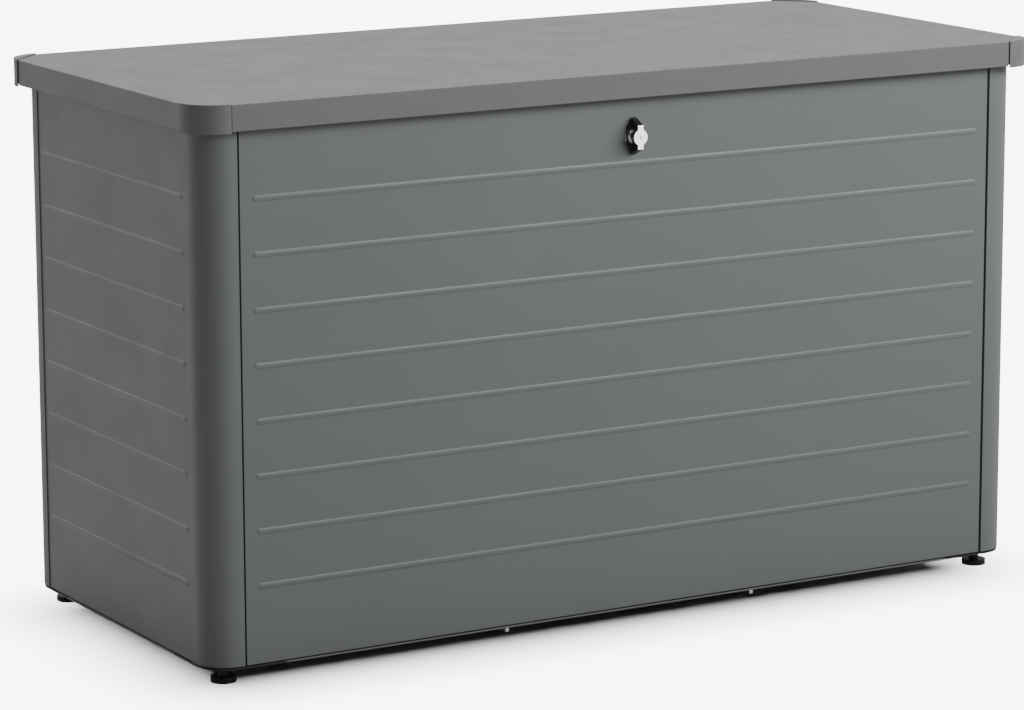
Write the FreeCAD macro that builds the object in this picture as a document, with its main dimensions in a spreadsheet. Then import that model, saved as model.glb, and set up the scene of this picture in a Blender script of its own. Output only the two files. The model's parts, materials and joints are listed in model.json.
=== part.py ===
import FreeCAD, Part
import math
import os

import Sketcher
from FreeCAD import Placement, Rotation, Vector

# Steel garden storage box with a gas-strut lid, a quarter-turn lock and four levelling feet.
# Millimetres. X runs along the width, the front faces -Y, Z points up and the feet stand on Z = 0.

doc = FreeCAD.newDocument("deck_storage_box")
sheet = doc.addObject("Spreadsheet::Sheet", "dim")

SIZES = {
    # overall body
    "box_width": 1500,
    "box_depth": 652,
    "lid_height": 894,
    "panel_bottom": 31,
    "floor_level": 52,
    # sheet-metal wall panels and their beads
    "panel_sheet": 1,
    "panel_recess": 1.5,
    "panel_flange": 20,
    "seam_gap_front": 3.5,
    "seam_gap_side": 0.4,
    "bead_count": 8,
    "bead_drop": 107,
    "bead_rise": 121,
    "bead_radius": 10.5,
    "bead_height": 1.3,
    "bead_end_front": 15,
    "bead_end_side": 6,
    # corner posts
    "post_radius": 49,
    "post_flat": 10,
    "post_sheet": 1.5,
    "post_fold": 25,
    "post_cap_wall": 1.8,
    "post_cap_fit": 0.2,
    "post_cap_top": 2,
    "post_cap_show": 4,
    # rails and floor
    "rail_sheet": 1.5,
    "top_rail_depth": 18,
    "top_rail_height": 25,
    "base_underside": 26.5,
    "base_hem": 2.5,
    "base_reveal": 0.5,
    "rail_shelf": 21,
    "rail_play": 1,
    "floor_sheet": 1,
    "floor_play": 1,
    "support_spacing": 460,
    "support_width": 30,
    "support_height": 18,
    "support_tongue": 6,
    # plastic base corners and levelling feet
    "corner_reach": 130,
    "corner_width": 23,
    "corner_inset": 1,
    "corner_web": 90,
    "corner_wall": 2.5,
    "upstand_start": 10,
    "upstand_end": 40,
    "foot_inset": 42,
    "foot_radius": 20,
    "foot_thickness": 9,
    "foot_notch": 1.6,
    "foot_notches": 24,
    "hub_radius": 8,
    "hub_gap": 1.5,
    "stem_radius": 5,
    "stem_play": 0.05,
    "boss_radius": 16,
    "boss_height": 13.5,
    "nut_radius": 9.8,
    "nut_height": 8,
    "stem_above_nut": 3,
    # lid
    "overhang_side": 20,
    "overhang_front": 24,
    "lid_sheet": 1,
    "rim_height": 40,
    "rim_hem": 10,
    "cap_radius": 56,
    "cap_flat": 2,
    "cap_proud": 1.5,
    "cap_below": 2.5,
    "cap_wall": 2.5,
    "cap_seam": 1,
    "cap_tab": 30,
    "cap_tab_sheet": 3,
    "cap_lap": 8,
    "cap_lap_sheet": 1.5,
    "seal_space": 11,
    "seal_width": 8,
    "seal_play": 0.5,
    "beam_length": 1200,
    "beam_width": 28,
    "beam_height": 18,
    "beam_setback": 65,
    "stiffener_spacing": 760,
    "stiffener_width": 40,
    "stiffener_rear": 85,
    # lock
    "lock_drop": 63,
    "lock_flange_radius": 15,
    "lock_flange": 3,
    "barrel_radius": 9,
    "barrel_length": 30,
    "barrel_play": 0.2,
    "lock_nut_radius": 14,
    "lock_nut_height": 6,
    "spindle_radius": 4,
    "lock_play": 0.05,
    "handle_base": 58,
    "handle_tip": 38,
    "handle_width": 10,
    "handle_depth": 20,
    "handle_hub": 9,
    "collar_radius": 13,
    "collar_step": 2.5,
    "collar_proud": 2,
    "oval_height": 60,
    "oval_width": 28,
    "oval_thickness": 3,
    "face_radius": 12.3,
    "face_sheet": 1.5,
    "face_tab": 38,
    "face_tab_width": 10,
    "plug_radius": 6,
    "plug_depth": 10,
    "plug_proud": 0.5,
    "key_width": 1.6,
    "key_height": 7,
    "cam_reach": 35,
    "cam_width": 12,
    "cam_sheet": 3,
    "cam_gap": 1.5,
    "strike_sheet": 2,
    "strike_side": 12,
    "strike_width": 28,
    "strike_lip": 14,
    "strike_clearance": 5,
    "strike_behind": 6,
    # hinges
    "hinge_spacing": 960,
    "hinge_width": 90,
    "hinge_middle": 31,
    "hinge_play": 0.5,
    "hinge_behind": 12,
    "hinge_drop": 32,
    "knuckle_radius": 6,
    "pin_radius": 3,
    "pin_play": 0.05,
    "leaf_sheet": 2.5,
    "leaf_web": 4,
    "leaf_length": 42,
    # gas struts
    "strut_inset": 39,
    "strut_foot_gap": 19,
    "strut_stud_back": 140,
    "strut_stud_drop": 30,
    "strut_drop": 202,
    "strut_stroke": 121,
    "strut_radius": 9,
    "strut_wall": 1,
    "strut_rod_radius": 4,
    "strut_eye": 10,
    "strut_stud_radius": 4,
    "strut_play": 0.05,
    "strut_piston": 4,
    "strut_rest": 1,
    "strut_reserve": 14,
    "strut_neck": 2,
    "bracket_depth": 16,
    "bracket_width": 24,
    "bracket_height": 36,
    "stud_gap": 1,
    "lid_bracket_sheet": 2,
    "lid_bracket_foot": 20,
    "lid_stud_length": 16,
    # seam screws
    "screw_inset": 12,
    "screw_low": 120,
    "screw_radius": 2.4,
    "screw_play": 0.2,
    "screw_head": 4.5,
    "screw_head_height": 3,
    "screw_end": 5,
    "spacer_radius": 6,
}

for row, (alias, number) in enumerate(SIZES.items(), start=1):
    sheet.set(f"A{row}", alias)
    sheet.set(f"B{row}", str(number))
    sheet.setAlias(f"B{row}", alias)
doc.recompute()

# Derived places, written as spreadsheet expressions.
BODY_X = "(dim.box_width / 2)"
BODY_Y = "(dim.box_depth / 2)"
LID_X = "(dim.box_width / 2 + dim.overhang_side)"
LID_Y = "(dim.box_depth / 2 + dim.overhang_front)"
PANEL_Y = "(dim.box_depth / 2 - dim.panel_recess)"
RIM_BOTTOM = "(dim.lid_height - dim.rim_height)"
LID_UNDER = "(dim.lid_height - dim.lid_sheet)"
BODY_TOP = "(dim.lid_height - dim.lid_sheet - dim.seal_space)"
POST_SIZE = "(dim.post_radius + dim.post_flat)"
BEAD_TOP = f"({RIM_BOTTOM} - dim.bead_drop)"
CAP_SIZE = "(dim.cap_radius + dim.cap_flat)"
BEAD_PITCH = f"(({BEAD_TOP} - dim.panel_bottom - dim.bead_rise) / (dim.bead_count - 1))"
BASE_TOP = "(dim.base_underside + dim.base_hem)"
HINGE_Y = f"({BODY_Y} + dim.hinge_behind)"
HINGE_Z = "(dim.lid_height - dim.hinge_drop)"
LOCK_Z = f"({RIM_BOTTOM} - dim.lock_drop)"
CAM_FRONT = f"(dim.barrel_length + dim.cam_gap - {PANEL_Y})"
CAM_BACK = f"({CAM_FRONT} + dim.cam_sheet)"
STRUT_X = f"({BODY_X} - dim.strut_inset)"
STUD_Y = f"({HINGE_Y} - dim.strut_stud_back)"
STUD_Z = "(dim.lid_height - dim.strut_stud_drop)"
STRUT_Y = f"({BODY_Y} - {POST_SIZE} - dim.strut_foot_gap)"
STRUT_Z = f"({STUD_Z} - dim.strut_drop)"
STRUT_LEAN = f"({STRUT_Y} - {STUD_Y})"
STRUT_CLOSED = f"sqrt({STRUT_LEAN} ^ 2 + dim.strut_drop ^ 2)"

# Each side of the box: direction of its outward face and the turn that brings the front there.
SIDES = {
    "front": (0, -1, 0),
    "right": (1, 0, 90),
    "rear": (0, 1, 180),
    "left": (-1, 0, -90),
}
# Each corner: signs of X and Y and the turn that brings the front-left corner there.
CORNERS = {
    "front_left": (-1, -1, 0),
    "front_right": (1, -1, 90),
    "rear_right": (1, 1, 180),
    "rear_left": (-1, 1, -90),
}
HANDS = {"left": -1, "right": 1}
UP = Vector(0, 0, 1)
LEFT = "left"
RIGHT = "right"

nodes = []


def value(expression):
    """Number that a spreadsheet expression gives."""
    return float(sheet.evalExpression(expression))


def bind(thing, **expressions):
    """Tie properties of an object to spreadsheet expressions."""
    for name, expression in expressions.items():
        thing.setExpression(name, expression)


def place(thing, x, y, z, axis=UP, angle=0):
    """Put an object at bound coordinates, turned by a fixed angle."""
    thing.Placement = Placement(Vector(value(x), value(y), value(z)), Rotation(axis, angle))
    thing.setExpression("Placement.Base.x", x)
    thing.setExpression("Placement.Base.y", y)
    thing.setExpression("Placement.Base.z", z)
    return thing


def keep(thing, name):
    """Name an object as one finished sub-part."""
    thing.Label = name
    nodes.append(thing)
    return thing


def box(name, x0, x1, y0, y1, z0, z1):
    """Block between bound planes."""
    block = doc.addObject("Part::Box", name)
    bind(block, Length=f"({x1}) - ({x0})", Width=f"({y1}) - ({y0})", Height=f"({z1}) - ({z0})")
    return place(block, x0, y0, z0)


TURNS = {"X": (Vector(0, 1, 0), 90), "Y": (Vector(1, 0, 0), -90), "Z": (UP, 0)}


def rod(name, direction, x, y, z, radius, length):
    """Round bar that starts at a point and runs along +X, +Y or +Z."""
    bar = doc.addObject("Part::Cylinder", name)
    bind(bar, Radius=radius, Height=length)
    axis, angle = TURNS[direction]
    return place(bar, x, y, z, axis, angle)


def hexagon(name, direction, x, y, z, radius, length):
    """Six-sided bar, given by its corner radius."""
    prism = doc.addObject("Part::Prism", name)
    prism.Polygon = 6
    bind(prism, Circumradius=radius, Height=length)
    axis, angle = TURNS[direction]
    return place(prism, x, y, z, axis, angle)


def join(name, pieces):
    """One solid out of several."""
    fused = doc.addObject("Part::MultiFuse", name)
    fused.Shapes = pieces
    fused.Refine = True
    return fused


def group(name, pieces):
    """Several separate solids in one sub-part."""
    compound = doc.addObject("Part::Compound", name)
    compound.Links = pieces
    return compound


def cut(name, base, tools):
    """A solid less one or more tools."""
    remainder = doc.addObject("Part::Cut", name)
    remainder.Base = base
    remainder.Tool = tools[0] if len(tools) == 1 else group(f"{name}_tools", tools)
    return remainder


def new_body(name):
    return doc.addObject("PartDesign::Body", f"{name}_body")


def draw(body, name, role, corners, lift="0"):
    """Closed outline on an origin plane of the body, raised by lift along the plane's normal.

    A corner is (x, y), or (x, y, radius, side) when the edge that leaves it is an arc whose
    centre lies on the LEFT or the RIGHT of the direction of travel.
    """
    sketch = body.newObject("Sketcher::SketchObject", name)
    plane = next(item for item in body.Origin.OriginFeatures if item.Role == role)
    sketch.AttachmentSupport = [(plane, "")]
    sketch.MapMode = "FlatFace"
    sketch.setExpression(".AttachmentOffset.Base.z", lift)
    points = [Vector(value(corner[0]), value(corner[1]), 0) for corner in corners]
    starts = []
    finishes = []
    for index, corner in enumerate(corners):
        start = points[index]
        end = points[(index + 1) % len(points)]
        backward = len(corner) == 4 and corner[3] == RIGHT
        starts.append(2 if backward else 1)
        finishes.append(1 if backward else 2)
        if len(corner) == 2:
            sketch.addGeometry(Part.LineSegment(start, end), False)
        elif backward:
            sketch.addGeometry(arc_between(end, start, value(corner[2])), False)
        else:
            sketch.addGeometry(arc_between(start, end, value(corner[2])), False)
    for index, corner in enumerate(corners):
        follower = (index + 1) % len(corners)
        meeting = (index, finishes[index], follower, starts[follower])
        sketch.addConstraint(Sketcher.Constraint("Coincident", *meeting))
        point = (-1, 1, index, starts[index])
        hold(sketch, "DistanceX", point, corner[0])
        hold(sketch, "DistanceY", point, corner[1])
        if len(corner) == 4:
            hold(sketch, "Radius", (index,), corner[2])
    return sketch


def hold(sketch, kind, elements, expression):
    """Constraint of a sketch that is bound to an expression."""
    number = sketch.addConstraint(Sketcher.Constraint(kind, *elements, value(expression)))
    sketch.setExpression(f"Constraints[{number}]", expression)


def arc_between(start, end, radius):
    """Counter-clockwise arc of the given radius."""
    chord = end - start
    half = chord.Length / 2
    left = Vector(-chord.y, chord.x, 0).normalize()
    rise = math.sqrt(max(radius * radius - half * half, 0))
    centre = (start + end) / 2 + left * rise
    begin = math.atan2(start.y - centre.y, start.x - centre.x)
    finish = math.atan2(end.y - centre.y, end.x - centre.x)
    return Part.ArcOfCircle(Part.Circle(centre, UP, radius), begin, finish)


def draw_circle(body, name, x, y, radius, lift="0"):
    """Circle on the body's XY plane, raised by lift."""
    sketch = body.newObject("Sketcher::SketchObject", name)
    plane = next(item for item in body.Origin.OriginFeatures if item.Role == "XY_Plane")
    sketch.AttachmentSupport = [(plane, "")]
    sketch.MapMode = "FlatFace"
    sketch.setExpression(".AttachmentOffset.Base.z", lift)
    sketch.addGeometry(Part.Circle(Vector(value(x), value(y), 0), UP, value(radius)), False)
    hold(sketch, "DistanceX", (-1, 1, 0, 3), x)
    hold(sketch, "DistanceY", (-1, 1, 0, 3), y)
    hold(sketch, "Radius", (0,), radius)
    return sketch


def extrude(body, kind, name, sketch, length, reverse=False):
    """Pad or pocket of a sketch by a bound length."""
    feature = body.newObject(f"PartDesign::{kind}", name)
    feature.Profile = sketch
    feature.Reversed = reverse
    bind(feature, Length=length)
    return feature


def turn(body, kind, name, sketch):
    """Full revolution or groove about the first line of a sketch."""
    feature = body.newObject(f"PartDesign::{kind}", name)
    feature.Profile = sketch
    feature.ReferenceAxis = (sketch, ["Edge1"])
    feature.Angle = 360
    return feature


def repeat_up(body, name, feature, occurrences, pitch):
    """Copies of a feature up the body's Z axis."""
    pattern = body.newObject("PartDesign::LinearPattern", name)
    pattern.Originals = [feature]
    axis = next(item for item in body.Origin.OriginFeatures if item.Role == "Z_Axis")
    pattern.Direction = (axis, [""])
    bind(pattern, Occurrences=occurrences, Length=f"({occurrences} - 1) * {pitch}")
    body.Tip = pattern
    return pattern


def at_side(thing, side, distance_x, distance_y, z="0"):
    """Bring a piece that was drawn for the front to one side of the box."""
    sign_x, sign_y, angle = SIDES[side]
    return place(thing, f"{sign_x} * {distance_x}", f"{sign_y} * {distance_y}", z, UP, angle)


def at_corner(thing, corner, distance_x, distance_y, z="0"):
    """Bring a piece that was drawn for the front-left corner to one corner."""
    sign_x, sign_y, angle = CORNERS[corner]
    return place(thing, f"{sign_x} * {distance_x}", f"{sign_y} * {distance_y}", z, UP, angle)


def half_length(side):
    """Half the length of the body along one side."""
    return BODY_X if side in ("front", "rear") else BODY_Y


def seam_gap(side):
    """Gap between a wall panel and its posts: open at the front and rear, nearly closed at the sides."""
    return "dim.seam_gap_front" if side in ("front", "rear") else "dim.seam_gap_side"


def panel_half(side):
    """Half the width of one wall panel."""
    return f"({half_length(side)} - {POST_SIZE} - {seam_gap(side)})"


def screw_heights():
    """Heights of the seam screws: near the base, half-way and at the top bead."""
    return ["dim.screw_low", f"(dim.screw_low + {BEAD_TOP}) / 2", BEAD_TOP]


def capsule(length_half, radius, axis_depth):
    """Half outline of a round-ended bar whose axis lies along X; the first edge is the axis."""
    straight = f"({length_half} - {radius})"
    return [
        (f"-{length_half}", axis_depth),
        (length_half, axis_depth, radius, LEFT),
        (straight, f"{axis_depth} + {radius}"),
        (f"-{straight}", f"{axis_depth} + {radius}", radius, LEFT),
    ]


def wall_panel(side):
    """Folded sheet tray with pressed horizontal beads, drawn with its outer face on Y = 0."""
    name = f"{side}_panel"
    width = panel_half(side)
    skin = "dim.panel_sheet"
    deep = "dim.panel_flange"
    end = "dim.bead_end_front" if side in ("front", "rear") else "dim.bead_end_side"
    height = f"{BODY_TOP} - dim.panel_bottom"
    body = new_body(name)
    tray = [
        (f"-{width}", "0"),
        (width, "0"),
        (width, deep),
        (f"{width} - {skin}", deep),
        (f"{width} - {skin}", skin),
        (f"-{width} + {skin}", skin),
        (f"-{width} + {skin}", deep),
        (f"-{width}", deep),
    ]
    extrude(body, "Pad", f"{name}_tray", draw(body, f"{name}_plan", "XY_Plane", tray), height)
    axis_depth = "(dim.bead_radius - dim.bead_height)"
    bead_half = f"({width} - {end})"
    outer = draw(body, f"{name}_bead", "XY_Plane",
                 capsule(bead_half, "dim.bead_radius", axis_depth), "dim.bead_rise")
    bead = turn(body, "Revolution", f"{name}_bead_form", outer)
    repeat_up(body, f"{name}_beads", bead, "dim.bead_count", BEAD_PITCH)

    def inside(depth):
        """Outline of the tray's inside, to a depth behind the outer face."""
        return [
            (f"-{width} + {skin}", skin),
            (f"{width} - {skin}", skin),
            (f"{width} - {skin}", depth),
            (f"-{width} + {skin}", depth),
        ]

    clear = draw(body, f"{name}_inside", "XY_Plane", inside("2 * dim.bead_radius"))
    extrude(body, "Pocket", f"{name}_back", clear, height, reverse=True)
    hollow_outline = capsule(f"({bead_half} - {skin})", f"(dim.bead_radius - {skin})", axis_depth)
    hollow = draw(body, f"{name}_hollow", "XY_Plane", hollow_outline, "dim.bead_rise")
    groove = turn(body, "Groove", f"{name}_hollow_form", hollow)
    repeat_up(body, f"{name}_hollows", groove, "dim.bead_count", BEAD_PITCH)
    foot = draw(body, f"{name}_foot", "XY_Plane", inside(deep))
    extrude(body, "Pad", f"{name}_foot_flange", foot, skin)
    holes = [rod(f"{name}_hole", "X", f"-{width} - {skin}", "dim.screw_inset",
                 f"{level} - dim.panel_bottom", "dim.screw_radius + dim.screw_play",
                 f"2 * ({width} + {skin})") for level in screw_heights()]
    if side == "front":
        holes.append(rod(f"{name}_lock_hole", "Y", "0", "-dim.panel_sheet",
                         f"{LOCK_Z} - dim.panel_bottom", "dim.barrel_radius + dim.barrel_play",
                         "3 * dim.panel_sheet"))
    panel = cut(name, body, holes)
    at_side(panel, side, f"({BODY_X} - dim.panel_recess)", PANEL_Y, "dim.panel_bottom")
    return keep(panel, name)


def corner_post(corner):
    """Rolled sheet post with a round outer corner and two folds toward the inside."""
    name = f"post_{corner}"
    skin = "dim.post_sheet"
    body = new_body(name)
    profile = [
        ("dim.post_fold", POST_SIZE),
        ("0", POST_SIZE),
        ("0", "dim.post_radius", "dim.post_radius", LEFT),
        ("dim.post_radius", "0"),
        (POST_SIZE, "0"),
        (POST_SIZE, "dim.post_fold"),
        (f"{POST_SIZE} - {skin}", "dim.post_fold"),
        (f"{POST_SIZE} - {skin}", skin),
        ("dim.post_radius", skin, f"dim.post_radius - {skin}", RIGHT),
        (skin, "dim.post_radius"),
        (skin, f"{POST_SIZE} - {skin}"),
        ("dim.post_fold", f"{POST_SIZE} - {skin}"),
    ]
    outline = draw(body, f"{name}_plan", "XY_Plane", profile)
    extrude(body, "Pad", f"{name}_profile", outline, f"{BODY_TOP} - dim.panel_bottom")
    inset = "dim.panel_recess + dim.screw_inset"
    start = f"{POST_SIZE} - 2 * {skin}"
    radius = "dim.screw_radius + dim.screw_play"
    holes = []
    for level in screw_heights():
        drop = f"{level} - dim.panel_bottom"
        holes.append(rod(f"{name}_hole", "X", start, inset, drop, radius, f"3 * {skin}"))
        holes.append(rod(f"{name}_hole", "Y", inset, start, drop, radius, f"3 * {skin}"))
    post = cut(name, body, holes)
    at_corner(post, corner, BODY_X, BODY_Y, "dim.panel_bottom")
    return keep(post, name)


def seam_screws():
    """Screws and spacer rings that tie each panel to its two posts."""
    screws = []
    spacers = []
    flange = "dim.panel_sheet"
    for side in SIDES:
        edge = panel_half(side)
        gap = seam_gap(side)
        for sign in (-1, 1):
            head_side = f"({edge} - {flange} - dim.screw_head_height)"
            seam_side = f"({edge} + {gap} + dim.post_sheet + dim.screw_end)"
            shank_start = head_side if sign > 0 else f"-{seam_side}"
            head_start = head_side if sign > 0 else f"-({edge} - {flange})"
            ring_start = edge if sign > 0 else f"-({edge} + {gap})"
            for level in screw_heights():
                shank = rod("seam_screw_shank", "X", shank_start, "dim.screw_inset", level,
                            "dim.screw_radius", f"{seam_side} - {head_side}")
                head = rod("seam_screw_head", "X", head_start, "dim.screw_inset", level,
                           "dim.screw_head", "dim.screw_head_height")
                screw = join("seam_screw", [shank, head])
                ring = rod("seam_ring", "X", ring_start, "dim.screw_inset", level,
                           "dim.spacer_radius", gap)
                bore = rod("seam_ring_bore", "X", ring_start, "dim.screw_inset", level,
                           "dim.screw_radius + dim.screw_play", gap)
                spacer = cut("seam_spacer", ring, [bore])
                at_side(screw, side, f"({BODY_X} - dim.panel_recess)", PANEL_Y)
                at_side(spacer, side, f"({BODY_X} - dim.panel_recess)", PANEL_Y)
                screws.append(screw)
                spacers.append(spacer)
    keep(group("panel_screws", screws), "panel_screws")
    keep(group("seam_spacers", spacers), "seam_spacers")


def top_rail(side):
    """Channel behind the top edge of a panel, open toward the inside of the box."""
    half = f"({panel_half(side)} - dim.panel_sheet - dim.rail_play)"
    front = "dim.panel_sheet"
    back = "(dim.panel_sheet + dim.top_rail_depth)"
    low = f"({BODY_TOP} - dim.top_rail_height)"
    skin = "dim.rail_sheet"
    name = f"top_rail_{side}"
    web = box(f"{name}_web", f"-{half}", half, front, f"{front} + {skin}", low, BODY_TOP)
    lower = box(f"{name}_lower", f"-{half}", half, front, back, low, f"{low} + {skin}")
    upper = box(f"{name}_upper", f"-{half}", half, front, back, f"{BODY_TOP} - {skin}", BODY_TOP)
    rail = join(name, [web, lower, upper])
    at_side(rail, side, f"({BODY_X} - dim.panel_recess)", PANEL_Y)
    return keep(rail, name)


def base_rail(side):
    """Bottom rail: a hem that shows below the panel, a web behind it and a shelf for the floor."""
    half = f"({half_length(side)} - dim.corner_reach)"
    skin = "dim.rail_sheet"
    name = f"base_rail_{side}"
    front = "-dim.base_reveal"
    web = "dim.rail_shelf"
    low = "dim.base_underside"
    hem = box(f"{name}_hem", f"-{half}", half, front, f"{front} + {skin}", low, BASE_TOP)
    sole = box(f"{name}_sole", f"-{half}", half, front, f"{web} + {skin}", low, f"{low} + {skin}")
    wall = box(f"{name}_web", f"-{half}", half, web, f"{web} + {skin}", low, "dim.floor_level")
    shelf = box(f"{name}_shelf", f"-{half}", half, web, f"2 * {web}",
                f"dim.floor_level - {skin}", "dim.floor_level")
    rail = join(name, [hem, sole, wall, shelf])
    at_side(rail, side, f"({BODY_X} - dim.panel_recess)", PANEL_Y)
    return keep(rail, name)


def base_corner(corner):
    """Plastic base piece under a post, with two arms, a bored foot boss and two upstands."""
    name = f"base_corner_{corner}"
    inset = "dim.corner_inset"
    inner = "(dim.corner_inset + dim.corner_width)"
    body = new_body(name)
    plate = [
        ("dim.corner_reach", inset),
        ("dim.corner_reach", inner),
        ("dim.corner_web", inner),
        (inner, "dim.corner_web"),
        (inner, "dim.corner_reach"),
        (inset, "dim.corner_reach"),
        (inset, "dim.post_radius", f"dim.post_radius - {inset}", LEFT),
        ("dim.post_radius", inset),
    ]
    sketch = draw(body, f"{name}_plan", "XY_Plane", plate, "dim.base_underside")
    extrude(body, "Pad", f"{name}_plate", sketch, "dim.base_hem")
    wall = f"({POST_SIZE} - dim.post_sheet)"
    thick = "dim.corner_wall"
    rise = ("dim.base_underside", f"dim.floor_level - {thick}")
    run = ("dim.upstand_start", "dim.upstand_end")
    along_x = box(f"{name}_upstand_x", f"{wall} - {thick}", wall, *run, *rise)
    along_y = box(f"{name}_upstand_y", *run, f"{wall} - {thick}", wall, *rise)
    boss = rod(f"{name}_boss", "Z", "dim.foot_inset", "dim.foot_inset", "dim.base_underside",
               "dim.boss_radius", "dim.boss_height")
    bore = rod(f"{name}_bore", "Z", "dim.foot_inset", "dim.foot_inset", "0",
               "dim.stem_radius + dim.stem_play", "dim.floor_level")
    solid = join(f"{name}_solid", [body, along_x, along_y, boss])
    piece = cut(name, solid, [bore])
    at_corner(piece, corner, BODY_X, BODY_Y)
    return keep(piece, name)


def foot(corner):
    """Levelling foot: a notched disc, a hub and a steel stem that screws into the base corner."""
    name = f"foot_{corner}"
    body = new_body(name)
    hub_top = "(dim.base_underside - dim.hub_gap)"
    nut_top = "(dim.base_underside + dim.boss_height + dim.nut_height)"
    disc = draw_circle(body, f"{name}_disc_plan", "0", "0", "dim.foot_radius")
    extrude(body, "Pad", f"{name}_disc", disc, "dim.foot_thickness")
    notch = draw_circle(body, f"{name}_notch_plan", "dim.foot_radius", "0", "dim.foot_notch")
    cutter = extrude(body, "Pocket", f"{name}_notch", notch, "dim.foot_thickness", reverse=True)
    ring = body.newObject("PartDesign::PolarPattern", f"{name}_notches")
    ring.Originals = [cutter]
    axis = next(item for item in body.Origin.OriginFeatures if item.Role == "Z_Axis")
    ring.Axis = (axis, [""])
    ring.Angle = 360
    bind(ring, Occurrences="dim.foot_notches")
    body.Tip = ring
    hub = draw_circle(body, f"{name}_hub_plan", "0", "0", "dim.hub_radius")
    extrude(body, "Pad", f"{name}_hub", hub, hub_top)
    stem = draw_circle(body, f"{name}_stem_plan", "0", "0", "dim.stem_radius")
    extrude(body, "Pad", f"{name}_stem", stem, f"{nut_top} + dim.stem_above_nut")
    at_corner(body, corner, f"({BODY_X} - dim.foot_inset)", f"({BODY_Y} - dim.foot_inset)")
    return keep(body, name)


def foot_nuts():
    """Steel nuts on the bosses that carry the thread of the feet."""
    nuts = []
    level = "dim.base_underside + dim.boss_height"
    for sign_x, sign_y, _ in CORNERS.values():
        x = f"{sign_x} * ({BODY_X} - dim.foot_inset)"
        y = f"{sign_y} * ({BODY_Y} - dim.foot_inset)"
        blank = hexagon("foot_nut_blank", "Z", x, y, level, "dim.nut_radius", "dim.nut_height")
        bore = rod("foot_nut_bore", "Z", x, y, level,
                   "dim.stem_radius + dim.stem_play", "dim.nut_height")
        nuts.append(cut("foot_nut", blank, [bore]))
    return keep(group("foot_nuts", nuts), "foot_nuts")


def post_cap(corner):
    """Plastic collar and cover on the upper end of a post."""
    name = f"post_cap_{corner}"
    fit = "dim.post_cap_fit"
    wall = "(dim.post_cap_fit + dim.post_cap_wall)"
    low = f"({RIM_BOTTOM} - dim.post_cap_show)"
    body = new_body(name)
    outer = [
        (POST_SIZE, f"-{wall}"),
        (POST_SIZE, "dim.post_fold"),
        ("dim.post_fold", POST_SIZE),
        (f"-{wall}", POST_SIZE),
        (f"-{wall}", "dim.post_radius", f"dim.post_radius + {wall}", LEFT),
        ("dim.post_radius", f"-{wall}"),
    ]
    sketch = draw(body, f"{name}_plan", "XY_Plane", outer)
    extrude(body, "Pad", f"{name}_block", sketch, f"{BODY_TOP} + dim.post_cap_top - {low}")
    beyond = f"({POST_SIZE} + dim.post_flat)"
    inside = [
        (beyond, f"-{fit}"),
        (beyond, beyond),
        (f"-{fit}", beyond),
        (f"-{fit}", "dim.post_radius", f"dim.post_radius + {fit}", LEFT),
        ("dim.post_radius", f"-{fit}"),
    ]
    hollow = draw(body, f"{name}_inside", "XY_Plane", inside)
    extrude(body, "Pocket", f"{name}_socket", hollow, f"{BODY_TOP} - {low}", reverse=True)
    at_corner(body, corner, BODY_X, BODY_Y, low)
    return keep(body, name)


def floor_panel():
    """Flat sheet that lies on the shelves of the base rails."""
    back = "(dim.panel_recess + dim.rail_shelf + dim.rail_sheet + dim.floor_play)"
    half_x = f"({BODY_X} - {back} - dim.floor_play)"
    half_y = f"({BODY_Y} - {back} - dim.floor_play)"
    sheet_top = "dim.floor_level + dim.floor_sheet"
    return keep(box("floor_panel", f"-{half_x}", half_x, f"-{half_y}", half_y,
                    "dim.floor_level", sheet_top), "floor_panel")


def floor_supports():
    """Two channels under the floor, with tongues that pass below the front and rear rails."""
    skin = "dim.rail_sheet"
    reach = f"({PANEL_Y} - 2 * dim.rail_shelf)"
    low = "(dim.floor_level - dim.support_height)"
    supports = []
    for sign in HANDS.values():
        centre = f"({sign} * dim.support_spacing / 2)"
        west = f"({centre} - dim.support_width / 2)"
        east = f"({centre} + dim.support_width / 2)"
        tongue_bottom = "(dim.base_underside - dim.support_tongue)"
        left = f"({centre} - dim.support_tongue / 2)"
        right = f"({centre} + dim.support_tongue / 2)"
        pieces = [
            box("support_top", west, east, f"-{reach}", reach,
                f"dim.floor_level - {skin}", "dim.floor_level"),
            box("support_side", west, f"{west} + {skin}", f"-{reach}", reach,
                low, "dim.floor_level"),
            box("support_side", f"{east} - {skin}", east, f"-{reach}", reach,
                low, "dim.floor_level"),
        ]
        for start, end, inner in ((f"-{PANEL_Y}", f"-{reach} + {skin}", f"-{reach}"),
                                  (f"{reach} - {skin}", PANEL_Y, f"{reach} - {skin}")):
            pieces.append(box("support_tongue", left, right, start, end,
                              tongue_bottom, "dim.base_underside"))
            pieces.append(box("support_riser", left, right, inner, f"{inner} + {skin}",
                              tongue_bottom, "dim.floor_level"))
        supports.append(join("floor_support", pieces))
    return keep(group("floor_supports", supports), "floor_supports")


def edge_seals():
    """Four rubber strips on the top rails, just short of the lid."""
    strips = []
    for side in SIDES:
        half = f"({panel_half(side)} - dim.panel_sheet)"
        strip = box(f"seal_{side}", f"-{half}", half, "dim.panel_sheet",
                    "dim.panel_sheet + dim.seal_width", BODY_TOP, f"{LID_UNDER} - dim.seal_play")
        placed = group(f"seal_strip_{side}", [strip])
        at_side(placed, side, f"({BODY_X} - dim.panel_recess)", PANEL_Y)
        strips.append(placed)
    return keep(group("edge_seals", strips), "edge_seals")


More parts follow.
